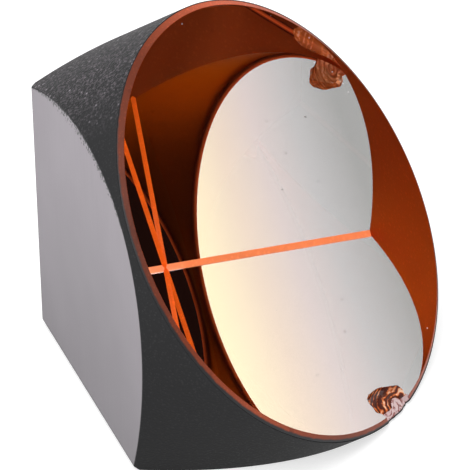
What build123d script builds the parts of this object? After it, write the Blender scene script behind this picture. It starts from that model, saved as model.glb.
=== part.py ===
"""Corner cube prism: a round glass retroreflector that rests on one of its three rear facets.

The three rear facets are mutually square and meet at the apex. The optical axis leans at equal
angles to all three, and the polished front face stands square to that axis. Silvered sheets back
the facets, copper lines every ground surface, and dark paint covers the copper on the outside.

Millimetres, +Z up, front face towards -Y. The origin is on the floor, under the middle of the part.
"""

from build123d import *
import math
import os

# Glass blank
glass_diameter = 62.5
rim_land = 1.4  # barrel left between the front face and the middle of each facet
rim_bevel_width = 1.0  # ring that the bevel takes off the front face
rim_bevel_depth = 0.6  # how far the bevel runs down the barrel
edge_flat_setback = 0.65  # ground off both facets along each rear edge

# Coats, outwards from the glass
copper_thickness = 0.08
paint_thickness = 0.12

# Shell-shaped chip broken out of the front rim, where the glass over a facet is thinnest
chip_angle = -95.0  # round the front face, from +X towards the top of the rim
chip_turn = -22.0  # the long way of the chip, from +X
chip_length = 9.6
chip_width = 5.6
chip_overhang = 0.15  # how far the middle of the chip reaches over the rim
chip_lift = 0.5  # the hollow's centre line stands this far in front of the face
strike_angle = -90.8  # where the blow landed, and the ripples start
strike_inset = 0.65  # from the barrel
ripple_pitch = 1.15
ripple_sag = 0.2
ripple_count = 6
ripple_land = 0.3  # barrel left between the first ripple's crest and the facet
ripple_fall = 0.28  # how much deeper each next crest lies

glass_radius = glass_diameter / 2
coat_thickness = copper_thickness + paint_thickness
chip_centre_radius = glass_radius + chip_overhang - chip_width / 2
strike_radius = glass_radius - strike_inset
ripple_floor = rim_land - ripple_land

# Along the optical axis, from the sharp apex to the front face. Each facet's middle meets the
# barrel at the square root of two times the radius, which leaves the land in front of it.
glass_height = glass_radius * math.sqrt(2) + rim_land

# Directions: the optical axis and the way into the glass from each facet
axis_rise = math.sqrt(1 / 3)
axis_run = math.sqrt(2 / 3)
optical_axis = Vector(0, -axis_run, axis_rise)
facet_normals = [
    Vector(-1, -1, 0).normalized(),
    Vector(1, -1, 0).normalized(),
    Vector(0, 0, 1),
]
edge_normals = [
    (facet_normals[0] + facet_normals[1]).normalized(),
    (facet_normals[1] + facet_normals[2]).normalized(),
    (facet_normals[2] + facet_normals[0]).normalized(),
]
edge_flat_depth = edge_flat_setback / math.sqrt(2)

# The apex stands where the finished part is centred over the origin, front to back
shoulder_height = glass_height - rim_bevel_depth
front_reach = shoulder_height * axis_run + (glass_radius + coat_thickness) * axis_rise
back_reach = coat_thickness - edge_flat_depth
apex = Vector(0, (front_reach - back_reach) / 2, coat_thickness)

apex_plane = Plane(origin=apex, x_dir=(1, 0, 0), z_dir=optical_axis)
front_plane = apex_plane.offset(glass_height)


def on_front_face(radius, angle):
    """A point of the front face, given round its centre."""
    turn = math.radians(angle)
    return front_plane.from_local_coords(Vector(radius * math.cos(turn), radius * math.sin(turn), 0))


def ground_prism(barrel_growth=0.0, facet_growth=0.0, flat_growth=0.0):
    """The blank after grinding, with its barrel, facets and edge flats each moved outwards."""
    with BuildPart() as blank:
        # The bar runs on behind the apex, so that the facets grind its end away
        with BuildSketch(apex_plane.offset(-glass_radius)):
            Circle(glass_radius + barrel_growth)
        extrude(amount=glass_height + glass_radius)
        front_face = blank.faces().sort_by(Axis(apex, optical_axis))[-1]
        chamfer(
            front_face.edges(),
            length=rim_bevel_width,
            length2=rim_bevel_depth,
            reference=front_face,
        )
        for inward in facet_normals:
            split(bisect_by=Plane(origin=apex - inward * facet_growth, z_dir=inward))
        for inward in edge_normals:
            flat_origin = apex + inward * (edge_flat_depth - flat_growth)
            split(bisect_by=Plane(origin=flat_origin, z_dir=inward))
    return blank.part


def chip_hollow():
    """What the blow took away: rippled rings round the strike, bounded by a long round hollow."""
    strike_plane = Plane(
        origin=on_front_face(strike_radius, strike_angle),
        x_dir=(1, 0, 0),
        z_dir=front_plane.y_dir,
    )
    with BuildPart() as ripples:
        with BuildSketch(strike_plane):
            with BuildLine():
                crest = (0, ripple_floor)
                for ring in range(ripple_count):
                    next_crest = (
                        (ring + 1) * ripple_pitch,
                        ripple_floor + (ring + 1) * ripple_fall,
                    )
                    sag_point = (
                        (crest[0] + next_crest[0]) / 2,
                        (crest[1] + next_crest[1]) / 2 + ripple_sag,
                    )
                    ThreePointArc(crest, sag_point, next_crest)
                    crest = next_crest
                Polyline(crest, (crest[0], -chip_width), (0, -chip_width), (0, ripple_floor))
            make_face()
        revolve(axis=Axis(strike_plane.origin, optical_axis))

    hollow_plane = Plane(
        origin=on_front_face(chip_centre_radius, chip_angle) + optical_axis * chip_lift,
        x_dir=front_plane.x_dir.rotate(Axis((0, 0, 0), optical_axis), chip_turn),
        z_dir=optical_axis,
    )
    with BuildPart() as hollow:
        with BuildSketch(hollow_plane):
            with BuildLine():
                rim = EllipticalCenterArc((0, 0), chip_length / 2, chip_width / 2, arc_size=180)
                Line(rim @ 0, rim @ 1)
            make_face()
        revolve(axis=Axis(hollow_plane.origin, hollow_plane.x_dir))
        add(ripples.part, mode=Mode.INTERSECT)
    return hollow.part


chip = chip_hollow()

# Glass, ground and polished from one piece
with BuildPart() as glass_prism:
    add(ground_prism())
    add(chip, mode=Mode.SUBTRACT)

# Silvered sheets, one on each rear facet, whose backs are pale and show outside
with BuildPart() as mirror_coating:
    add(ground_prism(facet_growth=coat_thickness))
    add(ground_prism(), mode=Mode.SUBTRACT)
    add(chip, mode=Mode.SUBTRACT)

# Copper on the barrel, the rim bevel and the edge flats
with BuildPart() as copper_coating:
    add(ground_prism(copper_thickness, coat_thickness, copper_thickness))
    add(ground_prism(facet_growth=coat_thickness), mode=Mode.SUBTRACT)
    add(chip, mode=Mode.SUBTRACT)

# Dark paint over the copper, up to the shoulder of the rim bevel
with BuildPart() as backing_paint:
    add(ground_prism(coat_thickness, coat_thickness, coat_thickness))
    add(ground_prism(copper_thickness, coat_thickness, copper_thickness), mode=Mode.SUBTRACT)
    split(bisect_by=apex_plane.offset(shoulder_height), keep=Keep.BOTTOM)
    add(chip, mode=Mode.SUBTRACT)

glass_prism.part.label = "glass_prism"
mirror_coating.part.label = "mirror_coating"
copper_coating.part.label = "copper_coating"
backing_paint.part.label = "backing_paint"

os.makedirs("parts", exist_ok=True)
export_step(glass_prism.part, "parts/glass_prism.step")
export_step(mirror_coating.part, "parts/mirror_coating.step")
export_step(copper_coating.part, "parts/copper_coating.step")
export_step(backing_paint.part, "parts/backing_paint.step")
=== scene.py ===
"""Corner cube prism: the finished look of a round glass retroreflector, at rest on a rear facet.

A solid glass blank is ground to three square rear facets. Silvered sheets with pale backs cover the
facets, copper lines the ground barrel, rim bevel and edge flats, and dark grainy paint covers the
copper outside. A shell-shaped chip is broken out of the rim, and the dust of use lies on the glass.
"""

import functools
import math

import bmesh
import bpy
from bpy.props import FloatProperty, FloatVectorProperty, IntProperty, PointerProperty
from mathutils import Euler, Matrix, Vector, noise


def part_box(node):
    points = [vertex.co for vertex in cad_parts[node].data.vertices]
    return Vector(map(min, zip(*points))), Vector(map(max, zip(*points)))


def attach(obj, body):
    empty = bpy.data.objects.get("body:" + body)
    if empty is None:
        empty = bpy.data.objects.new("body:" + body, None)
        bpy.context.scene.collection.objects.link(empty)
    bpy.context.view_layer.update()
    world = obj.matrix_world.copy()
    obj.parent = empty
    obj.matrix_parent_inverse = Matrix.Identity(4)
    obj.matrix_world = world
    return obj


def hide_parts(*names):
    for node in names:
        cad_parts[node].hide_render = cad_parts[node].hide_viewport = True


bl_info = {
    "name": "Corner Cube Prism",
    "version": (1, 0, 0),
    "blender": (4, 5, 0),
    "location": "3D View > Sidebar > Corner Cube",
    "description": "Finishes a round glass corner cube prism with its coats, chip and studio",
    "category": "Object",
}

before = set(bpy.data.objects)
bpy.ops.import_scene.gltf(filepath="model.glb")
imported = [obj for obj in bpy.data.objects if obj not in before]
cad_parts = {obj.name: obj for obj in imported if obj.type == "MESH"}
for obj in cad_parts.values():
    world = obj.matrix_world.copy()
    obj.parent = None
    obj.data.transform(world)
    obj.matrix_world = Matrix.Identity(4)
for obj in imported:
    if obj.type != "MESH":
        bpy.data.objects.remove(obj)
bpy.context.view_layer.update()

MM = 0.001
BODY = "root"
UPRIGHT = (0, 0, 1)

# The optical axis leans at equal angles to the three rear facets
AXIS_RISE = math.sqrt(1 / 3)
AXIS_RUN = math.sqrt(2 / 3)
OPTICAL_AXIS = Vector((0, -AXIS_RUN, AXIS_RISE))
AXIS_TURN = (math.acos(AXIS_RISE), 0, 0)
FACE_UP = Vector((0, AXIS_RISE, AXIS_RUN))

# Turns of +Z into the glass, from each facet and from each flat ground along a rear edge. The last
# flat is the widest one, along the floor at the +X side.
FACET_TURNS = (
    (0, math.radians(90), math.radians(225)),
    (0, math.radians(90), math.radians(-45)),
    (0, 0, 0),
)
FLAT_TURNS = (
    (math.radians(90), 0, 0),
    (0, math.radians(45), math.radians(-45)),
    (0, math.radians(45), math.radians(225)),
)

GLASS_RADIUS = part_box("glass_prism")[1][0]
COAT_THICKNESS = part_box("backing_paint")[1][0] - GLASS_RADIUS
GLASS_INDEX = 1.517


# What a user may change


def described(kind, name, description, default, **more):
    """A value that has a name and a description."""
    return kind(name=name, description=description, default=default, **more)


number = functools.partial(described, FloatProperty)
length = functools.partial(described, FloatProperty, unit="LENGTH")
angle = functools.partial(described, FloatProperty, subtype="ANGLE")
colour = functools.partial(described, FloatVectorProperty, subtype="COLOR", min=0, max=1)


class PrismSizes(bpy.types.PropertyGroup):
    """Sizes of the ground glass blank, and of the coats and the dust on it."""

    radius: length("Radius", "Radius of the glass barrel", GLASS_RADIUS)
    rim_land: length("Rim Land", "Barrel left between the front and each facet", 1.4 * MM)
    bevel_width: length("Bevel Width", "Ring that the rim bevel takes off the front", 0.72 * MM)
    bevel_depth: length("Bevel Depth", "How far the rim bevel runs down the barrel", 0.6 * MM)
    edge_setback: length("Edge Setback", "Ground off both facets along an edge", 0.65 * MM)
    side_setback: length("Side Setback", "The same along the two narrower edges", 0.47 * MM)
    copper: length("Copper", "Thickness of the copper", 0.08 * MM)
    coats: length("Coats", "Thickness of all coats together", COAT_THICKNESS)
    gap: length("Gap", "Sliver of air that keeps two coats apart", 0.01 * MM)
    dust: length("Dust", "Radius of the larger grains of dust", 0.1 * MM)
    segments: described(IntProperty, "Segments", "Sides of the barrel", 360)


class ChipSizes(bpy.types.PropertyGroup):
    """Sizes of the shell-shaped chip in the rim."""

    angle: angle("Angle", "Place round the front face", math.radians(-96.25))
    inset: length("Inset", "From the barrel to the middle of the chip", 2.78 * MM)
    size: number("Size", "Times the chip's own outline", 1.0)
    wall: length("Wall", "How far the sides curve in towards the floor", 2.0 * MM)
    lift: length("Lift", "The curve's centre line in front of the face", 0.6 * MM)
    strike_angle: angle("Strike Angle", "Place of the blow on the face", math.radians(-92.4))
    strike_inset: length("Strike Inset", "From the barrel to the blow", 0.75 * MM)
    pitch: length("Ripple Pitch", "From one ripple to the next", 0.95 * MM)
    sag: length("Ripple Sag", "Hollow between two crests", 0.17 * MM)
    floor: length("Ripple Floor", "Depth of the first crest", 0.32 * MM)
    fall: length("Ripple Fall", "How much deeper each next crest lies", 0.24 * MM)
    grid: length("Grid", "Spacing of the points that form the chip", 0.08 * MM)


class FinishColours(bpy.types.PropertyGroup):
    """Colours of the coats."""

    silver: colour("Silver", "Silvering seen through the glass", (0.93, 0.92, 0.91))
    sheet: colour("Sheet Back", "Pale back of the silvered sheets", (0.295, 0.262, 0.295))
    copper: colour("Copper", "Ground copper outside", (0.68, 0.13, 0.05))
    lining: colour("Copper Lining", "Copper seen through the glass", (0.44, 0.072, 0.016))
    # The edge flats' copper is the lining's copper made brighter: painted light
    edges: colour("Copper Edges", "The narrower edge flats, through the glass", (1.0, 0.14, 0.012))
    low_edge: colour("Low Edge", "The widest edge flat, through the glass", (1.0, 0.25, 0.08))
    rim: colour("Copper Rim", "Copper on the rim bevel, through the glass", (0.9, 0.13, 0.03))
    paint: colour("Paint", "Dark paint on the barrel", (0.029, 0.029, 0.0305))


class StudioSettings(bpy.types.PropertyGroup):
    """Camera and lights."""

    lens: number("Lens", "Focal length in millimetres", 919.149)
    ambient: number("Ambient", "Light from all round", 0.15)
    sky: number("Sky", "Soft light from above and the left", 1.3)
    room: number("Room", "Brightness of the room in mirrors", 0.06)
    softbox: number("Softbox", "Brightness of the softbox in mirrors", 1.9)
    key_power: number("Key", "Power of the lamp above", 1.0, unit="POWER")
    floor: colour("Floor", "Pale floor", (0.58, 0.58, 0.58))


class CornerCubeSettings(bpy.types.PropertyGroup):
    """All that a user may change."""

    prism: PointerProperty(type=PrismSizes)
    chip: PointerProperty(type=ChipSizes)
    colours: PointerProperty(type=FinishColours)
    studio: PointerProperty(type=StudioSettings)


def settings():
    """The values in use."""
    return bpy.context.scene.corner_cube


def prism_height():
    """From the sharp apex to the front face."""
    prism = settings().prism
    return prism.radius * math.sqrt(2) + prism.rim_land


def apex():
    """The sharp apex of the glass, where the CAD part has it."""
    prism = settings().prism
    front_reach = (prism_height() - prism.bevel_depth) * AXIS_RUN
    front_reach += (prism.radius + prism.coats) * AXIS_RISE
    back_reach = prism.coats - prism.edge_setback / math.sqrt(2)
    return Vector((0, (front_reach - back_reach) / 2, prism.coats))


def on_front(x, y, out=0.0):
    """A point on or over the front face, from its centre: x to the right, y up the face."""
    centre = apex() + OPTICAL_AXIS * prism_height()
    return centre + Vector((x, 0, 0)) + FACE_UP * y + OPTICAL_AXIS * out


# Node trees. Each of these functions returns a socket, except where it says what else.


def fill(tree, node, inputs):
    """Links or fills a node's inputs. A list goes into one input that takes many. No result."""
    for key, value in inputs.items():
        for source in value if isinstance(value, list) else [value]:
            if isinstance(source, bpy.types.NodeSocket):
                tree.links.new(source, node.inputs[key])
            else:
                node.inputs[key].default_value = source


def add(tree, kind, inputs=None, **options):
    """Adds a node, sets its options, links or fills its inputs, and returns its outputs."""
    node = tree.nodes.new(kind)
    for name, value in options.items():
        setattr(node, name, value)
    fill(tree, node, inputs or {})
    return node.outputs


def new_group(name, family, inputs, outputs):
    """A node tree with named inputs and outputs. Returns it, its inputs' sockets and its end."""
    tree = bpy.data.node_groups.new(name, family + "NodeTree")
    for label, (kind, default) in inputs.items():
        socket = tree.interface.new_socket(label, in_out="INPUT", socket_type="NodeSocket" + kind)
        if default is not None:
            socket.default_value = default
    for label, kind in outputs.items():
        tree.interface.new_socket(label, in_out="OUTPUT", socket_type="NodeSocket" + kind)
    return tree, tree.nodes.new("NodeGroupInput").outputs, tree.nodes.new("NodeGroupOutput")


def tree_named(name, maker):
    """A node tree that is made once and then used again. Returns the tree."""
    return bpy.data.node_groups.get(name) or maker()


SIGNS = {"+": "ADD", "-": "SUBTRACT", "*": "MULTIPLY", "/": "DIVIDE"}


def calc(tree, sign, first, second=0.0):
    """One sum, by its sign or by the name of an operation that has none."""
    operation = SIGNS.get(sign, sign)
    return add(tree, "ShaderNodeMath", {0: first, 1: second}, operation=operation)[0]


def plus(tree, value, share, other):
    """A value plus a share of another."""
    return calc(tree, "+", value, calc(tree, "*", other, share))


def vector_calc(tree, sign, *vectors):
    """The outputs of one sum with vectors."""
    operation = SIGNS.get(sign, sign)
    return add(tree, "ShaderNodeVectorMath", dict(enumerate(vectors)), operation=operation)


def dot(tree, vector, direction):
    """How far a vector lies along a direction."""
    return vector_calc(tree, "DOT_PRODUCT", vector, tuple(direction))["Value"]


def ranged(tree, value, start, end, top=1.0):
    """0 where a value is at the start, and the top where it is at the end."""
    inputs = {"Value": value, "From Min": start, "From Max": end, "To Max": top}
    return add(tree, "ShaderNodeMapRange", inputs)[0]


def up_by(tree, height):
    """A vector along Z."""
    return add(tree, "ShaderNodeCombineXYZ", {"Z": height})[0]


def moved(tree, geometry, place, turn=(0, 0, 0)):
    """Geometry that is turned and then moved."""
    inputs = {"Geometry": geometry, "Translation": place, "Rotation": turn}
    return add(tree, "GeometryNodeTransform", inputs)[0]


def with_finish(tree, geometry, finish, chosen=True):
    """Geometry with a finish on its chosen faces."""
    inputs = {"Geometry": geometry, "Selection": chosen, "Material": finish}
    return add(tree, "GeometryNodeSetMaterial", inputs)[0]


def realized(tree, geometry, finish):
    """Real geometry in one finish."""
    real = add(tree, "GeometryNodeRealizeInstances", {0: geometry})[0]
    return with_finish(tree, real, finish)


def facing(tree, direction, within=0.9995):
    """True for faces that look along a direction."""
    normal = add(tree, "GeometryNodeInputNormal")[0]
    return calc(tree, "GREATER_THAN", dot(tree, normal, direction), within)


# The ground glass and its coats


PRISM_INPUTS = {
    "Radius": ("Float", GLASS_RADIUS),
    "Height": ("Float", 45 * MM),
    "Bevel Width": ("Float", 1 * MM),
    "Bevel Depth": ("Float", 0.6 * MM),
    "Edge Setback": ("Float", 0.65 * MM),
    "Side Setback": ("Float", 0.47 * MM),
    "Coats": ("Float", COAT_THICKNESS),
    "Apex": ("Vector", (0, 0, 0)),
    "Segments": ("Int", 360),
}
GROWTHS = ("Barrel Growth", "Facet Growth", "Flat Growth")
GROWTH_INPUTS = dict.fromkeys((*GROWTHS, "Front Cut"), ("Float", 0.0))


def ground_prism_tree():
    """A bar with a bevelled rim, ground to three square facets and a flat along each rear edge."""
    inputs = {**PRISM_INPUTS, **GROWTH_INPUTS}
    tree, given, end = new_group("Ground prism", "Geometry", inputs, {"Prism": "Geometry"})
    radius = calc(tree, "+", given["Radius"], given["Barrel Growth"])
    top = calc(tree, "-", given["Height"], given["Front Cut"])
    # The bar runs on behind the apex, so that the facets grind its end away
    depth = calc(tree, "+", top, given["Radius"])
    inputs = {"Vertices": given["Segments"], "Radius": radius, "Depth": depth}
    bar = add(tree, "GeometryNodeMeshCylinder", inputs)["Mesh"]
    middle = calc(tree, "*", calc(tree, "-", top, given["Radius"]), 0.5)
    bar = moved(tree, bar, up_by(tree, middle))

    # The rim bevel is the side of a cone that is long enough to hold the whole bar
    slope = calc(tree, "/", given["Bevel Width"], given["Bevel Depth"])
    long = calc(tree, "*", given["Height"], 2.0)
    rim = calc(tree, "-", radius, given["Bevel Width"])
    rim = plus(tree, rim, given["Front Cut"], slope)
    inputs = {
        "Vertices": given["Segments"],
        "Radius Top": rim,
        "Radius Bottom": plus(tree, rim, long, slope),
        "Depth": long,
    }
    taper = add(tree, "GeometryNodeMeshCone", inputs)["Mesh"]
    taper = moved(tree, taper, up_by(tree, calc(tree, "-", top, long)))
    solids = [moved(tree, solid, given["Apex"], AXIS_TURN) for solid in (bar, taper)]

    # Each facet and flat is the underside of a large block
    half = calc(tree, "*", given["Radius"], 3.0)
    side = calc(tree, "*", half, 2.0)
    size = add(tree, "ShaderNodeCombineXYZ", {"X": side, "Y": side, "Z": side})[0]
    block = add(tree, "GeometryNodeMeshCube", {"Size": size})["Mesh"]
    ground = calc(tree, "/", given["Edge Setback"], math.sqrt(2))
    side_ground = calc(tree, "/", given["Side Setback"], math.sqrt(2))
    # The coats end at the same height over every edge, so they are thinner on the narrower flats
    spared = calc(tree, "/", calc(tree, "-", ground, side_ground), given["Coats"])
    side_growth = calc(tree, "*", given["Flat Growth"], calc(tree, "-", 1.0, spared))
    for lift, growth, turns in (
        (half, given["Facet Growth"], FACET_TURNS),
        (calc(tree, "+", half, side_ground), side_growth, FLAT_TURNS[:2]),
        (calc(tree, "+", half, ground), given["Flat Growth"], FLAT_TURNS[2:]),
    ):
        lifted = moved(tree, block, up_by(tree, calc(tree, "-", lift, growth)))
        solids += [moved(tree, lifted, given["Apex"], turn) for turn in turns]
    options = {"operation": "INTERSECT", "solver": "MANIFOLD"}
    prism = add(tree, "GeometryNodeMeshBoolean", {"Mesh 2": solids}, **options)["Mesh"]
    fill(tree, end, {"Prism": prism})
    return tree


def ground_prism(tree, values):
    """A ground prism in another tree."""
    group = tree_named("Ground prism", ground_prism_tree)
    return add(tree, "GeometryNodeGroup", values, node_tree=group)[0]


def outwards(turn):
    """The way out of the glass through a face that is ground by a turned block."""
    return -(Euler(turn).to_matrix() @ Vector(UPRIGHT))


def glass_tree():
    """The glass blank, with its polished front, its silvered facets and its copper-lined rest."""
    names = ("Glass", "Silver", "Lining", "Edges", "Low Edge", "Rim")
    finishes = dict.fromkeys(names, ("Material", None))
    inputs = {**PRISM_INPUTS, "Gap": ("Float", 0.0), **finishes}
    tree, given, end = new_group("Glass body", "Geometry", inputs, {"Body": "Geometry"})
    values = {name: given[name] for name in PRISM_INPUTS}
    values |= dict.fromkeys(GROWTHS, calc(tree, "*", given["Gap"], -1.0))
    body = realized(tree, ground_prism(tree, values), given["Lining"])
    chosen = [(facing(tree, OPTICAL_AXIS, 0.5), "Rim"), (facing(tree, OPTICAL_AXIS), "Glass")]
    for finish, turns in (
        ("Edges", FLAT_TURNS[:2]),
        ("Low Edge", FLAT_TURNS[2:]),
        ("Silver", FACET_TURNS),
    ):
        chosen += [(facing(tree, outwards(turn)), finish) for turn in turns]
    for faces, finish in chosen:
        body = with_finish(tree, body, given[finish], faces)
    fill(tree, end, {"Body": body})
    return tree


def coat_tree():
    """A thin coat: what a ground prism holds more than a smaller one."""
    sides = ("Outer", "Inner")
    sizes = {f"{side} {name}": kind for side in sides for name, kind in GROWTH_INPUTS.items()}
    inputs = {**PRISM_INPUTS, **sizes, "Finish": ("Material", None)}
    tree, given, end = new_group("Thin coat", "Geometry", inputs, {"Coat": "Geometry"})
    solids = {}
    for socket, side in zip(("Mesh 1", "Mesh 2"), sides):
        values = {name: given[name] for name in PRISM_INPUTS}
        values |= {name: given[f"{side} {name}"] for name in GROWTH_INPUTS}
        solids[socket] = ground_prism(tree, values)
    options = {"operation": "DIFFERENCE", "solver": "MANIFOLD"}
    shell = add(tree, "GeometryNodeMeshBoolean", solids, **options)["Mesh"]
    fill(tree, end, {"Coat": realized(tree, shell, given["Finish"])})
    return tree


def link_object(name, data):
    """Puts a new object in the scene."""
    thing = bpy.data.objects.new(name, data)
    bpy.context.scene.collection.objects.link(thing)
    return thing


def made_by_tree(name, tree, values, points=()):
    """A plain mesh object from a geometry node tree, its named inputs and any points it needs."""
    mesh = bpy.data.meshes.new(name)
    mesh.from_pydata(points, [], [])
    thing = link_object(name, mesh)
    maker = thing.modifiers.new(tree.name, "NODES")
    maker.node_group = tree
    for socket in tree.interface.items_tree:
        if socket.item_type == "SOCKET" and socket.in_out == "INPUT" and socket.name in values:
            maker[socket.identifier] = values[socket.name]
    return plain(thing)


def plain(thing):
    """Turns what an object's modifiers make into its own mesh."""
    bpy.context.view_layer.update()
    graph = bpy.context.evaluated_depsgraph_get()
    mesh = bpy.data.meshes.new_from_object(thing.evaluated_get(graph), depsgraph=graph)
    thing.modifiers.clear()
    thing.data = mesh
    if not mesh.polygons:
        raise RuntimeError(f"{thing.name} has no faces")
    # A tree can leave an empty slot in front of its finishes
    if len(mesh.materials) and not mesh.materials[0]:
        chosen = [polygon.material_index - 1 for polygon in mesh.polygons]
        mesh.materials.pop(index=0)
        mesh.polygons.foreach_set("material_index", chosen)
    return thing


def prism_values():
    """The blank's named sizes, for a tree's inputs."""
    values = {"Height": prism_height(), "Apex": tuple(apex())}
    for name in PRISM_INPUTS:
        if name not in values:
            values[name] = getattr(settings().prism, name.lower().replace(" ", "_"))
    return values


def make_coat(name, node, finish, sizes):
    """A coat's closed shell with the chip broken out, in place of its CAD node."""
    values = {**prism_values(), **sizes, "Finish": finish}
    thing = made_by_tree(name, tree_named("Thin coat", coat_tree), values)
    finish_piece(thing, node, finish)


# Faces that meet at less than this are shaded as one round surface
SMOOTH_ANGLE = math.radians(20)


def finish_piece(thing, node, chip_finish, frost_finish=None):
    """Breaks the chip out, smooths what is round, and puts the piece on its body."""
    cutter = chip_cutter(chip_finish, frost_finish)
    cut = thing.modifiers.new("Chip", "BOOLEAN")
    cut.operation = "DIFFERENCE"
    cut.solver = "MANIFOLD"
    cut.material_mode = "TRANSFER"
    cut.object = cutter
    plain(thing)
    bpy.data.objects.remove(cutter)
    thing.data.shade_smooth()
    thing.data.set_sharp_from_angle(angle=SMOOTH_ANGLE)
    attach(thing, BODY)
    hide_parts(node)


# The chip


# Its outline on the front face, from its middle, in millimetres
CHIP_OUTLINE = (
    (-3.45, 2.2), (-2.65, 2.5), (-0.5, 2.05), (1.4, 1.1), (3.55, -0.05),
    (3.85, -0.9), (3.7, -1.55), (4.7, -2.5), (5.0, -4.2), (-1.5, -4.2),
    (-2.3, -1.75), (-2.55, -1.1), (-3.45, -0.05), (-3.5, 0.9),
)
CHIP_REACH = 5.4 * MM  # half the side of the block that cuts it
CHIP_LID = 1.5 * MM  # how far that block stands out of the front face
RIM_FROST = 0.3 * MM  # how far crushed glass runs in from the rim bevel
BLOW_FROST = 1.15 * MM  # and from the place of the blow

# Waves per metre and height of the unevenness of the chip's sides and floor
UNEVEN_SIDES = (1100, 0.12 * MM)
ROUGH_FLOOR = (900, 0.03 * MM)


def round_face(radius, turn):
    """A place on the front face, from its centre."""
    return Vector((math.cos(turn), math.sin(turn))) * radius


def chip_middle():
    """The middle of the chip, on the front face."""
    chip = settings().chip
    return round_face(settings().prism.radius - chip.inset, chip.angle)


def strike_place():
    """Where the blow fell, on the front face."""
    chip = settings().chip
    return round_face(settings().prism.radius - chip.strike_inset, chip.strike_angle)


def inside_outline(place):
    """How far a place lies inside the chip's outline, or less than 0 outside it."""
    scale = MM * settings().chip.size
    corners = [Vector(corner) * scale for corner in CHIP_OUTLINE]
    nearest = math.inf
    inside = False
    for first, second in zip(corners, corners[1:] + corners[:1]):
        side = second - first
        along = (place - first).dot(side) / side.length_squared
        nearest = min(nearest, (place - first - side * min(max(along, 0.0), 1.0)).length)
        if (first.y > place.y) != (second.y > place.y):
            if place.x < first.x + side.x * (place.y - first.y) / side.y:
                inside = not inside
    return nearest if inside else -nearest


def chip_depth(x, y):
    """How deep the chip lies under a point of the front face."""
    chip = settings().chip
    place = Vector((x, y))
    waves, height = UNEVEN_SIDES
    uneven = noise.noise(Vector((x, y, 0)) * waves) * height
    from_floor = chip.wall - inside_outline(place - chip_middle()) + uneven
    round_left = chip.wall**2 + chip.lift**2 - max(from_floor, 0.0) ** 2
    hollow = math.sqrt(max(round_left, 0.0)) - chip.lift
    reach = (place - strike_place()).length / chip.pitch
    within = reach - math.floor(reach)
    ripple = chip.floor + chip.fall * reach + 4 * chip.sag * within * (1 - within)
    waves, height = ROUGH_FLOOR
    rough = noise.fractal(Vector((x, y, 0)) * waves, 1.0, 2.0, 4) * height
    return min(hollow, ripple + rough)


def is_frosted(x, y):
    """True where the break runs through the rim, and near the blow."""
    place = Vector((x, y))
    through = place.length > settings().prism.radius - settings().prism.bevel_width - RIM_FROST
    return through or (place - strike_place()).length < BLOW_FROST


def chip_cutter(finish, frost_finish):
    """A block whose underside is the broken surface, to be cut out of a piece."""
    middle = chip_middle()
    count = round(2 * CHIP_REACH / settings().chip.grid)

    def on_grid(i, j):
        """A place on the front face, from the steps along and up the grid."""
        x = middle.x - CHIP_REACH + 2 * CHIP_REACH * i / count
        return x, middle.y - CHIP_REACH + 2 * CHIP_REACH * j / count

    mesh = bmesh.new()
    rows = []
    for j in range(count + 1):
        places = [on_grid(i, j) for i in range(count + 1)]
        rows.append([mesh.verts.new(on_front(x, y, -chip_depth(x, y))) for x, y in places])
    for j, (low, high) in enumerate(zip(rows, rows[1:])):
        for i in range(count):
            face = mesh.faces.new((low[i], high[i], high[i + 1], low[i + 1]))
            if frost_finish and is_frosted(*on_grid(i + 0.5, j + 0.5)):
                face.material_index = 1
    edge = rows[0][:-1] + [row[-1] for row in rows[:-1]]
    edge += rows[-1][:0:-1] + [row[0] for row in rows[:0:-1]]
    lifted = [mesh.verts.new(vert.co + OPTICAL_AXIS * CHIP_LID) for vert in edge]
    for k, vert in enumerate(edge):
        after = (k + 1) % len(edge)
        mesh.faces.new((vert, edge[after], lifted[after], lifted[k]))
    mesh.faces.new(lifted)
    bmesh.ops.recalc_face_normals(mesh, faces=mesh.faces[:])
    data = bpy.data.meshes.new("Chip cutter")
    mesh.to_mesh(data)
    mesh.free()
    data.materials.append(finish)
    if frost_finish:
        data.materials.append(frost_finish)
    return link_object("Chip cutter", data)


# Finishes. Each of these helpers returns a socket, except where it says what else.


def new_finish(name):
    """A finish's node tree, a socket with the object's coordinates, and what completes it."""
    material = bpy.data.materials.new(name)
    material.use_nodes = True
    tree = material.node_tree

    def completed(inputs):
        """The material, with its main shader's inputs filled."""
        fill(tree, tree.nodes["Principled BSDF"], inputs)
        return material

    return tree, add(tree, "ShaderNodeTexCoord")["Object"], completed


def cloudy(tree, place, scale, detail=2.0, **more):
    """Soft noise, with its scale per metre."""
    inputs = {"Vector": place, "Scale": scale, "Detail": detail, **more}
    return add(tree, "ShaderNodeTexNoise", inputs)["Fac"]


def cells(tree, place, scale):
    """The outputs of a field of cells, with its scale per metre."""
    return add(tree, "ShaderNodeTexVoronoi", {"Vector": place, "Scale": scale})


def relief(tree, height, strength, distance):
    """A normal that follows a height."""
    inputs = {"Height": height, "Strength": strength, "Distance": distance}
    return add(tree, "ShaderNodeBump", inputs)[0]


def mixed(tree, factor, first, second, blend="MIX"):
    """Two colours mixed."""
    inputs = {0: factor, 6: first, 7: second}
    return add(tree, "ShaderNodeMix", inputs, data_type="RGBA", blend_type=blend)[2]


def ramp(tree, value, stops):
    """A colour that runs through stops, each a position and a colour."""
    colours = add(tree, "ShaderNodeValToRGB", {0: value})["Color"]
    elements = colours.node.color_ramp.elements
    for element, (position, tint) in zip(elements, (stops[0], stops[-1])):
        element.position = position
        element.color = (*tint, 1)
    for position, tint in stops[1:-1]:
        elements.new(position).color = (*tint, 1)
    return colours


def shaded(value, level=1.0):
    """A colour made lighter or darker, with its alpha. Returns the colour."""
    return (*(channel * level for channel in value), 1.0)


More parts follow.
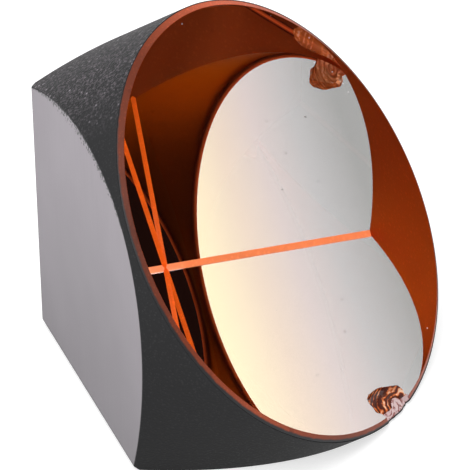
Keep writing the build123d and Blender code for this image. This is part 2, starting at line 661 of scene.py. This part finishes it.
def grain_group():
    """Fine sprayed or ground grain: a height, and a mask that is 1 on the high grains."""
    inputs = {"Vector": ("Vector", None), "Grains per Metre": ("Float", 4000.0)}
    outputs = {"Height": "Float", "Grains": "Float"}
    tree, given, end = new_group("Fine grain", "Shader", inputs, outputs)
    field = (given["Vector"], given["Grains per Metre"])
    height = calc(tree, "-", cloudy(tree, *field, 3.0), cells(tree, *field)["Distance"])
    fill(tree, end, {"Height": height, "Grains": ranged(tree, height, 0.15, 0.45)})
    return tree


def speck_group():
    """Scattered specks: a mask that is 1 in the middle of each."""
    inputs = {
        "Vector": ("Vector", None),
        "Specks per Metre": ("Float", 400.0),
        "Size": ("Float", 0.08),
        "Share": ("Float", 0.3),
    }
    tree, given, end = new_group("Specks", "Shader", inputs, {"Mask": "Float"})
    field = cells(tree, given["Vector"], given["Specks per Metre"])
    chance = add(tree, "ShaderNodeSeparateColor", {0: field["Color"]})[0]
    kept = calc(tree, "LESS_THAN", chance, given["Share"])
    inside = ranged(tree, field["Distance"], given["Size"], 0.0)
    fill(tree, end, {"Mask": calc(tree, "*", kept, inside)})
    return tree


def fine_grain(tree, place, grains):
    """The outputs of the fine grain, with its grains per metre."""
    group = tree_named("Fine grain", grain_group)
    inputs = {"Vector": place, "Grains per Metre": grains}
    return add(tree, "ShaderNodeGroup", inputs, node_tree=group)


def specks(tree, place, count, size, share=0.3):
    """A mask of scattered specks, with their count per metre."""
    group = tree_named("Specks", speck_group)
    inputs = {"Vector": place, "Specks per Metre": count, "Size": size, "Share": share}
    return add(tree, "ShaderNodeGroup", inputs, node_tree=group)["Mask"]


def from_inside(tree):
    """1 where a surface is seen from inside the glass."""
    return add(tree, "ShaderNodeNewGeometry")["Backfacing"]


def from_axis(tree, place):
    """How far a place lies from the optical axis."""
    away = vector_calc(tree, "-", place, tuple(apex()))[0]
    aside = vector_calc(tree, "CROSS_PRODUCT", away, tuple(OPTICAL_AXIS))[0]
    return vector_calc(tree, "LENGTH", aside)["Value"]


def up_barrel(tree, place, low, high):
    """0 below one height and 1 above another, both in glass radii over the floor."""
    radius = settings().prism.radius
    return ranged(tree, dot(tree, place, UPRIGHT), low * radius, high * radius)


def rim_depth(tree, place):
    """0 at the front edge of the rim bevel and 1 at its shoulder."""
    front = OPTICAL_AXIS.dot(on_front(0, 0))
    depth = calc(tree, "-", front, dot(tree, place, OPTICAL_AXIS))
    return calc(tree, "/", depth, settings().prism.bevel_depth)


# The side of the front face, round it from +X, where the paint runs farthest onto the rim bevel
OVERSPRAY_ANGLE = math.radians(210)


def overspray(tree, place):
    """Where the paint runs over the shoulder onto the rim bevel: more at the lower -X side."""
    side = round_face(1.0, OVERSPRAY_ANGLE)
    side = Vector((side.x, 0, 0)) + FACE_UP * side.y
    reach = calc(tree, "-", dot(tree, place, side), side.dot(on_front(0, 0)))
    reach = calc(tree, "/", reach, settings().prism.radius)
    depth = plus(tree, rim_depth(tree, place), 0.36, reach)
    depth = plus(tree, depth, 0.4, cloudy(tree, place, 900.0, 3.0))
    return ranged(tree, depth, 0.98, 1.25)


# Painted light and shade on the copper: darker and brighter stretches, as degrees round the front
# face from +X and
# the brightness there: on the rim bevel, and on the barrel as it looks through the glass
RIM_LIGHT_AND_SHADE = (
    (0, 0.9), (20, 0.6), (62, 1.4), (100, 0.35),
    (150, 0.15), (210, 0.6), (240, 0.3), (290, 0.7),
)
LINING_LIGHT_AND_SHADE = (
    (0, 1.5), (50, 1.0), (120, 0.8), (140, 0.25), (160, 0.4),
    (210, 0.9), (240, 1.2), (290, 1.9), (315, 1.3),
)


def light_and_shade_round(tree, place, tint, stretches):
    """A colour with painted light and shade: lighter or darker by stretches round the front face.
    """
    aside = dot(tree, place, (1, 0, 0))
    upwards = calc(tree, "-", dot(tree, place, FACE_UP), FACE_UP.dot(on_front(0, 0)))
    turn = calc(tree, "/", calc(tree, "ARCTAN2", upwards, aside), math.tau)
    whole_turn = (*stretches, (360, stretches[0][1]))
    stops = [(degrees / 360, (level,) * 3) for degrees, level in whole_turn]
    levels = ramp(tree, calc(tree, "FRACT", turn), stops)
    return mixed(tree, 1.0, tint, levels, "MULTIPLY")


# What copper fades to in weak images, and how far
FADED_COPPER = (0.03, 0.006, 0.002, 1)
FADED_SHARE = 0.95


def faded(tree, tint, most):
    """A colour that goes dark in the weak images that more than so many reflections form."""
    reflections = add(tree, "ShaderNodeLightPath")["Glossy Depth"]
    weak = calc(tree, "GREATER_THAN", reflections, most + 0.5)
    return mixed(tree, calc(tree, "*", weak, FADED_SHARE), tint, FADED_COPPER)


def polished_glass():
    """Clear glass with a few faint smudges."""
    tree, place, completed = new_finish("Polished glass")
    inputs = {
        "Base Color": (1, 1, 1, 1),
        "Roughness": 0.0,
        "IOR": GLASS_INDEX,
        "Transmission Weight": 1.0,
        "Normal": relief(tree, specks(tree, place, 130.0, 0.2), 0.01, 0.01 * MM),
    }
    return completed(inputs)


# Painted colours of the broken glass, from its darkest stripes to its brightest: the copper beyond
# it in painted shade and light, then cream painted highlights
BREAK_LIGHT_AND_SHADE = (
    (0.26, (0.085, 0.014, 0.006)),
    (0.42, (0.42, 0.07, 0.016)),
    (0.66, (0.9, 0.25, 0.06)),
    (0.92, (1.0, 0.72, 0.5)),
)


def broken_glass():
    """The rippled break, in rings round the blow: painted highlights, and the copper beyond it in
    painted light and shade.
    """
    tree, place, completed = new_finish("Broken glass")
    strike = strike_place()
    away = vector_calc(tree, "-", place, tuple(on_front(strike.x, strike.y)))[0]
    inputs = {"Vector": away, "Scale": 400.0, "Distortion": 11.0, "Detail": 3.0}
    options = {"wave_type": "RINGS", "rings_direction": "SPHERICAL"}
    rings = add(tree, "ShaderNodeTexWave", inputs, **options)["Fac"]
    hackle = cloudy(tree, place, 1500.0, 3.0)
    band = calc(tree, "*", calc(tree, "*", rings, hackle), 1.6)
    blotch = calc(tree, "-", cloudy(tree, place, 420.0, 1.0), 0.53)
    stripes = ramp(tree, plus(tree, band, 1.8, blotch), BREAK_LIGHT_AND_SHADE)
    # Seen from inside, the break takes a painted copper glow
    inside = calc(tree, "*", from_inside(tree), 0.6)
    inputs = {
        "Base Color": mixed(tree, inside, stripes, (1.0, 0.2, 0.045, 1)),
        "Normal": relief(tree, hackle, 0.3, 0.05 * MM),
        "Roughness": 0.1,
        "Specular IOR Level": 0.15,
        "IOR": GLASS_INDEX,
        "Transmission Weight": 0.2,
    }
    return completed(inputs)


def frosted_glass():
    """Crushed glass where the break runs through the rim: white outside, copper-lit inside."""
    tree, place, completed = new_finish("Frosted broken glass")
    whorl = cloudy(tree, place, 900.0, Distortion=2.0)
    band = ranged(tree, whorl, 0.48, 0.6)
    tint = mixed(tree, band, (0.74, 0.54, 0.54, 1), (0.3, 0.09, 0.08, 1))
    inputs = {
        "Base Color": mixed(tree, from_inside(tree), tint, (0.85, 0.14, 0.03, 1)),
        "Normal": relief(tree, whorl, 0.6, 0.1 * MM),
        "Roughness": 0.25,
        "IOR": GLASS_INDEX,
        "Transmission Weight": 0.15,
    }
    return completed(inputs)


def silvering():
    """A neutral mirror with a few duller specks."""
    tree, place, completed = new_finish("Silvering behind glass")
    silver = settings().colours.silver
    dull = calc(tree, "*", specks(tree, place, 260.0, 0.12), 0.35)
    tint = mixed(tree, dull, shaded(silver), shaded(silver, 0.6))
    return completed({"Base Color": tint, "Metallic": 1.0, "Roughness": 0.0})


def copper_behind(name, lining, metallic, roughness, coat=0.0, stretches=()):
    """Copper seen through the glass: with painted light and shade in stretches, or else faded in
    weak images.
    """
    tree, place, completed = new_finish(name)
    grain = fine_grain(tree, place, 1500.0)
    tint = mixed(tree, grain["Grains"], shaded(lining, 0.92), shaded(lining, 1.08))
    inputs = {
        # Painted light and shade in stretches, where they are given
        "Base Color": light_and_shade_round(tree, place, tint, stretches) if stretches else faded(tree, tint, 2),
        "Normal": relief(tree, grain["Height"], 0.2, 0.03 * MM),
        "Metallic": metallic,
        "Roughness": roughness,
        "Specular IOR Level": 0.0,
        "Specular Tint": (1.0, 0.5, 0.3, 1),
        "Coat Weight": coat,
        "Coat Roughness": 0.15,
    }
    return completed(inputs)


def rim_behind():
    """Copper on the rim bevel through the glass: bright at the polished edge, dark behind it."""
    tree, place, completed = new_finish("Rim copper behind glass")
    depth = plus(tree, rim_depth(tree, place), 0.1, cloudy(tree, place, 700.0))
    glow = ranged(tree, depth, 0.72, 0.25)
    rim = shaded(settings().colours.rim)
    tint = faded(tree, mixed(tree, glow, (0.12, 0.018, 0.006, 1), rim), 3)
    return completed({"Base Color": tint, "Roughness": 0.6, "Specular IOR Level": 0.0})


def ground_copper():
    """Ground copper outside: grainy, with painted light and shade in stretches, and partly under
    the edge of the paint.
    """
    tree, place, completed = new_finish("Ground copper")
    copper = settings().colours.copper
    grain = fine_grain(tree, place, 2500.0)
    worn = cloudy(tree, place, 400.0, 3.0)
    dark = ranged(tree, worn, 0.62, 0.75, 0.5)
    tint = mixed(tree, grain["Grains"], shaded(copper, 0.85), shaded(copper, 1.2))
    tint = mixed(tree, dark, tint, shaded(copper, 0.35))
    # Painted light and shade round the rim bevel
    tint = light_and_shade_round(tree, place, tint, RIM_LIGHT_AND_SHADE)
    tint = mixed(tree, overspray(tree, place), tint, shaded(settings().colours.paint))
    inputs = {
        "Base Color": tint,
        "Normal": relief(tree, grain["Height"], 0.3, 0.03 * MM),
        "Roughness": plus(tree, 0.4, 0.2, worn),
        "Metallic": 0.5,
    }
    return completed(inputs)


# Sets how far the paint bleeds in from the barrel over the backs of the sheets
BLEED_REACH = 0.6 * MM


def sheet_back():
    """Satin backs drawn upright, darkened towards the floor as painted shade, with paint bled over
    their top edge.
    """
    tree, place, completed = new_finish("Satin sheet back")
    sheet = settings().colours.sheet
    radius = settings().prism.radius
    drawn = add(tree, "ShaderNodeMapping", {"Vector": place, "Scale": (1.0, 1.0, 0.06)})[0]
    streaks = cloudy(tree, drawn, 1400.0, 4.0, Roughness=0.6)
    level = ranged(tree, calc(tree, "+", streaks, cloudy(tree, place, 60.0)), 0.7, 1.3)
    tint = mixed(tree, level, shaded(sheet, 0.86), shaded(sheet, 1.1))
    tint = mixed(tree, specks(tree, place, 120.0, 0.03, 0.25), tint, shaded(sheet, 0.3))
    # Painted shade: the backs get darker towards the floor
    painted_low_shade = ranged(tree, dot(tree, place, UPRIGHT), radius * 1.4, 0, 0.5)
    tint = mixed(tree, painted_low_shade, tint, shaded(sheet, 0.0))
    margin = calc(tree, "-", radius, from_axis(tree, place))
    margin = calc(tree, "/", margin, BLEED_REACH)
    ragged = calc(tree, "-", cloudy(tree, place, 2300.0, 1.0), 0.44)
    ragged = calc(tree, "*", ragged, up_barrel(tree, place, 1.2, 1.42))
    ragged = calc(tree, "-", calc(tree, "*", ragged, 10.0), margin)
    bled = ranged(tree, ragged, 0.0, 0.3)
    inputs = {
        "Base Color": mixed(tree, bled, tint, shaded(settings().colours.paint, 0.7)),
        "Normal": relief(tree, streaks, 0.15, 0.03 * MM),
        "Roughness": plus(tree, 0.35, 0.2, streaks),
        "Metallic": 0.1,
    }
    return completed(inputs)


def barrel_paint():
    """Dark grainy paint: a mottle and specks of painted highlight where it faces up, painted shade
    low down and beneath.
    """
    tree, place, completed = new_finish("Grainy dark paint")
    paint = settings().colours.paint
    grain = fine_grain(tree, place, 2600.0)
    normal = add(tree, "ShaderNodeNewGeometry")["Normal"]
    lean = dot(tree, normal, UPRIGHT)
    upper = ranged(tree, lean, 0.68, 0.8)
    # Where the paint faces down, for painted shade beneath
    under = ranged(tree, lean, -0.45, -0.78)
    # Painted highlights where the paint faces up: a pale mottle and bright specks
    mottle = ranged(tree, cloudy(tree, place, 2000.0, 4.0, Roughness=0.75), 0.5, 0.64)
    mottle = calc(tree, "*", mottle, upper)
    light = calc(tree, "*", specks(tree, place, 1300.0, 0.32, 0.15), upper)
    tint = mixed(tree, grain["Grains"], shaded(paint, 0.8), shaded(paint, 1.25))
    tint = mixed(tree, mottle, tint, (0.14, 0.122, 0.136, 1))
    tint = mixed(tree, light, tint, (0.42, 0.38, 0.42, 1))
    # Painted shade: the paint gets darker low down
    tint = mixed(tree, up_barrel(tree, place, 0.1, 1.0), shaded(paint, 0.55), tint)
    rise = calc(tree, "*", grain["Height"], calc(tree, "+", upper, 0.25))
    inputs = {
        # Painted shade where the paint faces down
        "Base Color": mixed(tree, under, tint, shaded(paint, 0.2)),
        "Normal": relief(tree, rise, 0.8, 0.1 * MM),
        "Roughness": plus(tree, 0.6, -0.15, grain["Grains"]),
        "Specular IOR Level": 0.1,
        "Sheen Weight": 0.02,
        "Sheen Roughness": 0.4,
    }
    return completed(inputs)


def pale_dust():
    """Dust, lighter on its lumps."""
    tree, place, completed = new_finish("Pale dust")
    lumps = cloudy(tree, place, 9000.0)
    tint = mixed(tree, lumps, (0.55, 0.5, 0.5, 1), (0.9, 0.86, 0.86, 1))
    return completed({"Base Color": tint, "Roughness": 0.9})


# The pieces


def well_clear():
    """A growth that takes a side far out of the way of the other prism's."""
    return settings().prism.radius / 10


class CORNERCUBE_OT_glass(bpy.types.Operator):
    """Grinds the glass blank, and silvers and lines it as it looks through its front"""

    bl_idname = "corner_cube.glass"
    bl_label = "Glass Body"

    def execute(self, context):
        colours = settings().colours
        values = {
            **prism_values(),
            "Gap": settings().prism.gap,
            "Glass": polished_glass(),
            "Silver": silvering(),
            # The lining's copper carries painted light and shade round the barrel
            "Lining": copper_behind(
                "Copper behind glass", colours.lining, 0.86, 0.42, stretches=LINING_LIGHT_AND_SHADE
            ),
            # Brighter copper on the edge flats: painted light
            "Edges": copper_behind("Copper edges behind glass", colours.edges, 0.15, 0.3, 0.15),
            "Low Edge": copper_behind("Low copper edge", colours.low_edge, 0.3, 0.3, 0.45),
            "Rim": rim_behind(),
        }
        thing = made_by_tree("glass_body", tree_named("Glass body", glass_tree), values)
        finish_piece(thing, "glass_prism", broken_glass(), frosted_glass())
        return {"FINISHED"}


class CORNERCUBE_OT_sheets(bpy.types.Operator):
    """Lays a silvered sheet with a pale back on each rear facet"""

    bl_idname = "corner_cube.sheets"
    bl_label = "Silvered Sheets"

    def execute(self, context):
        prism = settings().prism
        sizes = {
            "Outer Facet Growth": prism.coats,
            "Inner Barrel Growth": well_clear(),
            "Inner Flat Growth": well_clear(),
            "Inner Front Cut": -prism.bevel_depth,
        }
        make_coat("silvered_sheets", "mirror_coating", sheet_back(), sizes)
        return {"FINISHED"}


class CORNERCUBE_OT_copper(bpy.types.Operator):
    """Lines the barrel, the rim bevel and the edge flats with copper"""

    bl_idname = "corner_cube.copper"
    bl_label = "Copper Lining"

    def execute(self, context):
        prism = settings().prism
        # The copper's ends stay a little below the backs of the sheets and under the paint
        sizes = {
            "Outer Barrel Growth": prism.copper - prism.gap,
            "Outer Facet Growth": prism.coats - 6 * prism.gap,
            "Outer Flat Growth": prism.copper - prism.gap,
            "Inner Facet Growth": well_clear(),
            "Inner Front Cut": -prism.bevel_depth,
        }
        make_coat("copper_lining", "copper_coating", ground_copper(), sizes)
        return {"FINISHED"}


class CORNERCUBE_OT_paint(bpy.types.Operator):
    """Paints over the copper, up to the shoulder of the rim bevel"""

    bl_idname = "corner_cube.paint"
    bl_label = "Dark Paint"

    def execute(self, context):
        prism = settings().prism
        sizes = {
            **{f"Outer {name}": prism.coats for name in GROWTHS},
            "Outer Front Cut": prism.bevel_depth,
            "Inner Barrel Growth": prism.copper,
            "Inner Facet Growth": well_clear(),
            "Inner Flat Growth": prism.copper,
        }
        make_coat("dark_paint", "backing_paint", barrel_paint(), sizes)
        return {"FINISHED"}


# Where the larger grains of dust lie on the front face, from its centre, in millimetres
DUST_PLACES = (
    (26.4, 13.9), (26.9, 5.8), (26.8, 4.4), (12.4, -26.5), (24.3, 11.0),
    (26.4, 8.1), (5.6, 29.2), (-11.8, -7.7), (-7.5, -20.6),
)


def drawn_by_lot(tree, low, high, seed):
    """A random vector for each point."""
    inputs = {"Min": low, "Max": high, "Seed": seed}
    return add(tree, "FunctionNodeRandomValue", inputs, data_type="FLOAT_VECTOR")[0]


def dust_tree():
    """Small uneven grains on given points."""
    inputs = {
        "Places": ("Geometry", None),
        "Radius": ("Float", 0.1 * MM),
        "Seed": ("Int", 3),
        "Finish": ("Material", None),
    }
    tree, given, end = new_group("Dust grains", "Geometry", inputs, {"Grains": "Geometry"})
    inputs = {"Radius": given["Radius"], "Subdivisions": 2}
    grain = add(tree, "GeometryNodeMeshIcoSphere", inputs)["Mesh"]
    inputs = {
        "Points": given["Places"],
        "Instance": grain,
        "Scale": drawn_by_lot(tree, (0.55, 0.55, 0.35), (1.25, 1.25, 0.8), given["Seed"]),
        "Rotation": drawn_by_lot(tree, (0, 0, 0), (6.28, 6.28, 6.28), given["Seed"]),
    }
    placed = add(tree, "GeometryNodeInstanceOnPoints", inputs)[0]
    fill(tree, end, {"Grains": realized(tree, placed, given["Finish"])})
    return tree


class CORNERCUBE_OT_dust(bpy.types.Operator):
    """Strews a few grains of dust over the front face"""

    bl_idname = "corner_cube.dust"
    bl_label = "Dust Grains"

    def execute(self, context):
        radius = settings().prism.dust
        places = [on_front(x * MM, y * MM, radius / 3) for x, y in DUST_PLACES]
        values = {"Radius": radius, "Finish": pale_dust()}
        tree = tree_named("Dust grains", dust_tree)
        thing = made_by_tree("dust_grains", tree, values, places)
        thing.data.shade_smooth()
        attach(thing, BODY)
        return {"FINISHED"}


# The studio


FLOOR_SIZE = 4.0  # half its side
FLOOR_DROP = 0.02 * MM
KEY_SIZE = 0.5
KEY_PLACE = Vector((-0.25, -0.1, 0.6))

# Where glass and mirrors see the backdrop, the front fill, the softbox, the two places where the
# room is dark, and the soft panel. Its colour sweeps across it in one direction.
BACKDROP_DIRECTION = (0.75, 0.65, 0)
FILL_DIRECTION = Vector((0.5, -0.86, -0.1)).normalized()
SOFTBOX_DIRECTION = Vector((-0.5, 0.2, 0.84)).normalized()
DARK_DIRECTIONS = (
    Vector((-0.741, -0.374, 0.557)).normalized(),
    Vector((0.742, -0.650, 0.159)).normalized(),
)
DARK_ROOM = (0.012, 0.004, 0.003, 1)
PANEL_DIRECTION = Vector((-0.919, 0.046, 0.392)).normalized()
PANEL_SWEEP = Vector((0.128, 0.975, 0.184)).normalized()
PANEL_SPAN = (-0.018, 0.019)
PANEL_COLOURS = (
    (0.08, (0.74, 0.75, 0.75)),
    (0.3, (1.08, 1.07, 1.09)),
    (0.5, (1.46, 1.29, 1.27)),
    (0.69, (1.79, 1.5, 1.26)),
    (0.95, (2.3, 2.0, 1.38)),
)

# Where the soft light of the sky comes from, and how much more of it glass and mirrors see
SKY_DIRECTION = Vector((-0.55, 0.25, 0.8)).normalized()
MIRRORED_SKY = 2.4

# The camera's right and its view, and its place from the apex in glass radii
CAMERA_RIGHT = Vector((0.42786, -0.90332, -0.03071)).normalized()
CAMERA_VIEW = Vector((0.74234, 0.37059, -0.55821)).normalized()
CAMERA_PLACE = Vector((-38.6221, -20.2407, 29.7416))
SENSOR_WIDTH = 36


def make_floor():
    """A pale floor that looks white where it is lit, and keeps the shadow."""
    mesh = bmesh.new()
    bmesh.ops.create_grid(mesh, x_segments=1, y_segments=1, size=FLOOR_SIZE)
    data = bpy.data.meshes.new("studio_floor")
    mesh.to_mesh(data)
    mesh.free()
    floor = link_object("studio_floor", data)
    floor.location.z = -FLOOR_DROP
    tree, place, completed = new_finish("Pale floor")
    pale = settings().studio.floor
    path = add(tree, "ShaderNodeLightPath")
    seen = calc(tree, "MAXIMUM", path["Is Camera Ray"], path["Is Glossy Ray"])
    seen = calc(tree, "MAXIMUM", seen, path["Is Transmission Ray"])
    mottle = cloudy(tree, place, 3.0)
    inputs = {
        "Base Color": mixed(tree, mottle, shaded(pale, 0.99), shaded(pale)),
        "Roughness": 0.8,
        "Specular IOR Level": 0.0,
        "Emission Color": (1, 1, 1, 1),
        "Emission Strength": calc(tree, "*", seen, 0.6),
    }
    data.materials.append(completed(inputs))


def make_lights():
    """One broad soft lamp above."""
    data = bpy.data.lights.new("soft_key", "AREA")
    data.shape = "DISK"
    data.size = KEY_SIZE
    data.energy = settings().studio.key_power
    lamp = link_object("soft_key", data)
    lamp.location = KEY_PLACE
    lamp.rotation_euler = (-KEY_PLACE).to_track_quat("-Z", "Y").to_euler()


def patch(tree, place, direction, inner, outer):
    """1 within an angle of a direction, fading to 0 at a wider one, in degrees."""
    start, end = (math.cos(math.radians(degrees)) for degrees in (outer, inner))
    return ranged(tree, dot(tree, place, direction), start, end)


def make_surroundings():
    """White behind the part, a soft panel and a dim room in its mirrors, and a soft sky's light."""
    studio = settings().studio
    white = (1, 1, 1, 1)
    world = bpy.data.worlds.new("Studio")
    bpy.context.scene.world = world
    world.use_nodes = True
    tree = world.node_tree
    tree.nodes.clear()
    place = add(tree, "ShaderNodeTexCoord")["Generated"]
    path = add(tree, "ShaderNodeLightPath")

    sweep = ranged(tree, dot(tree, place, PANEL_SWEEP), *PANEL_SPAN)
    mirrored = shaded((1, 1, 1), studio.room)
    for direction, inner, outer, share, tint in (
        (BACKDROP_DIRECTION, 25, 55, 1.0, white),
        (FILL_DIRECTION, 12, 35, 0.7, white),
        (SOFTBOX_DIRECTION, 32, 62, 1.0, shaded((1, 1, 1), studio.softbox)),
        *((direction, 4, 9, 1.0, DARK_ROOM) for direction in DARK_DIRECTIONS),
        (PANEL_DIRECTION, 6, 10, 1.0, ramp(tree, sweep, PANEL_COLOURS)),
    ):
        here = calc(tree, "*", patch(tree, place, direction, inner, outer), share)
        mirrored = mixed(tree, here, mirrored, tint)

    bent = calc(tree, "MAXIMUM", path["Is Glossy Ray"], path["Is Transmission Ray"])
    sky = plus(tree, studio.ambient, studio.sky, patch(tree, place, SKY_DIRECTION, 20, 120))
    sky = calc(tree, "*", sky, plus(tree, 1.0, MIRRORED_SKY, bent))
    # What matt surfaces get from glass and mirrors is the sky, so that the panel doesn't light them
    direct = calc(tree, "LESS_THAN", path["Diffuse Depth"], 0.5)
    around = mixed(tree, calc(tree, "*", bent, direct), sky, mirrored)
    seen = mixed(tree, path["Is Camera Ray"], around, white)
    light = add(tree, "ShaderNodeBackground", {"Color": seen, "Strength": 1.0})[0]
    add(tree, "ShaderNodeOutputWorld", {"Surface": light})


def make_camera():
    """The photograph's viewing angle, from a long way off."""
    data = bpy.data.cameras.new("camera")
    data.lens = settings().studio.lens
    data.sensor_width = SENSOR_WIDTH
    data.clip_start = 0.01
    data.clip_end = 100
    camera = link_object("camera", data)
    back = -CAMERA_VIEW
    up = back.cross(CAMERA_RIGHT).normalized()
    turn = Matrix((up.cross(back), up, back)).transposed().to_4x4()
    place = apex() + CAMERA_PLACE * settings().prism.radius
    camera.matrix_world = Matrix.Translation(place) @ turn
    bpy.context.scene.camera = camera


class CORNERCUBE_OT_studio(bpy.types.Operator):
    """Sets the floor, the lights, the surroundings and the camera"""

    bl_idname = "corner_cube.studio"
    bl_label = "Studio"

    def execute(self, context):
        make_floor()
        make_lights()
        make_surroundings()
        make_camera()
        context.scene.view_settings.view_transform = "Standard"
        return {"FINISHED"}


class CORNERCUBE_PT_panel(bpy.types.Panel):
    """Corner cube prism"""

    bl_label = "Corner Cube"
    bl_idname = "CORNERCUBE_PT_panel"
    bl_space_type = "VIEW_3D"
    bl_region_type = "UI"
    bl_category = "Corner Cube"

    def draw(self, context):
        layout = self.layout
        for group in ("prism", "chip", "colours", "studio"):
            box = layout.box()
            box.label(text=group.capitalize())
            values = getattr(context.scene.corner_cube, group)
            for name in values.__annotations__:
                box.prop(values, name)
        for operator in OPERATORS:
            layout.operator(operator.bl_idname)


OPERATORS = (
    CORNERCUBE_OT_glass, CORNERCUBE_OT_sheets, CORNERCUBE_OT_copper,
    CORNERCUBE_OT_paint, CORNERCUBE_OT_dust, CORNERCUBE_OT_studio,
)
CLASSES = (
    PrismSizes, ChipSizes, FinishColours, StudioSettings, CornerCubeSettings,
    *OPERATORS, CORNERCUBE_PT_panel,
)


def register():
    for made in CLASSES:
        bpy.utils.register_class(made)
    bpy.types.Scene.corner_cube = PointerProperty(type=CornerCubeSettings)


def unregister():
    del bpy.types.Scene.corner_cube
    for made in reversed(CLASSES):
        bpy.utils.unregister_class(made)


def main():
    register()
    bpy.ops.corner_cube.glass()
    bpy.ops.corner_cube.sheets()
    bpy.ops.corner_cube.copper()
    bpy.ops.corner_cube.paint()
    bpy.ops.corner_cube.dust()
    bpy.ops.corner_cube.studio()
    bpy.context.view_layer.update()


if __name__ == "__main__":
    main()
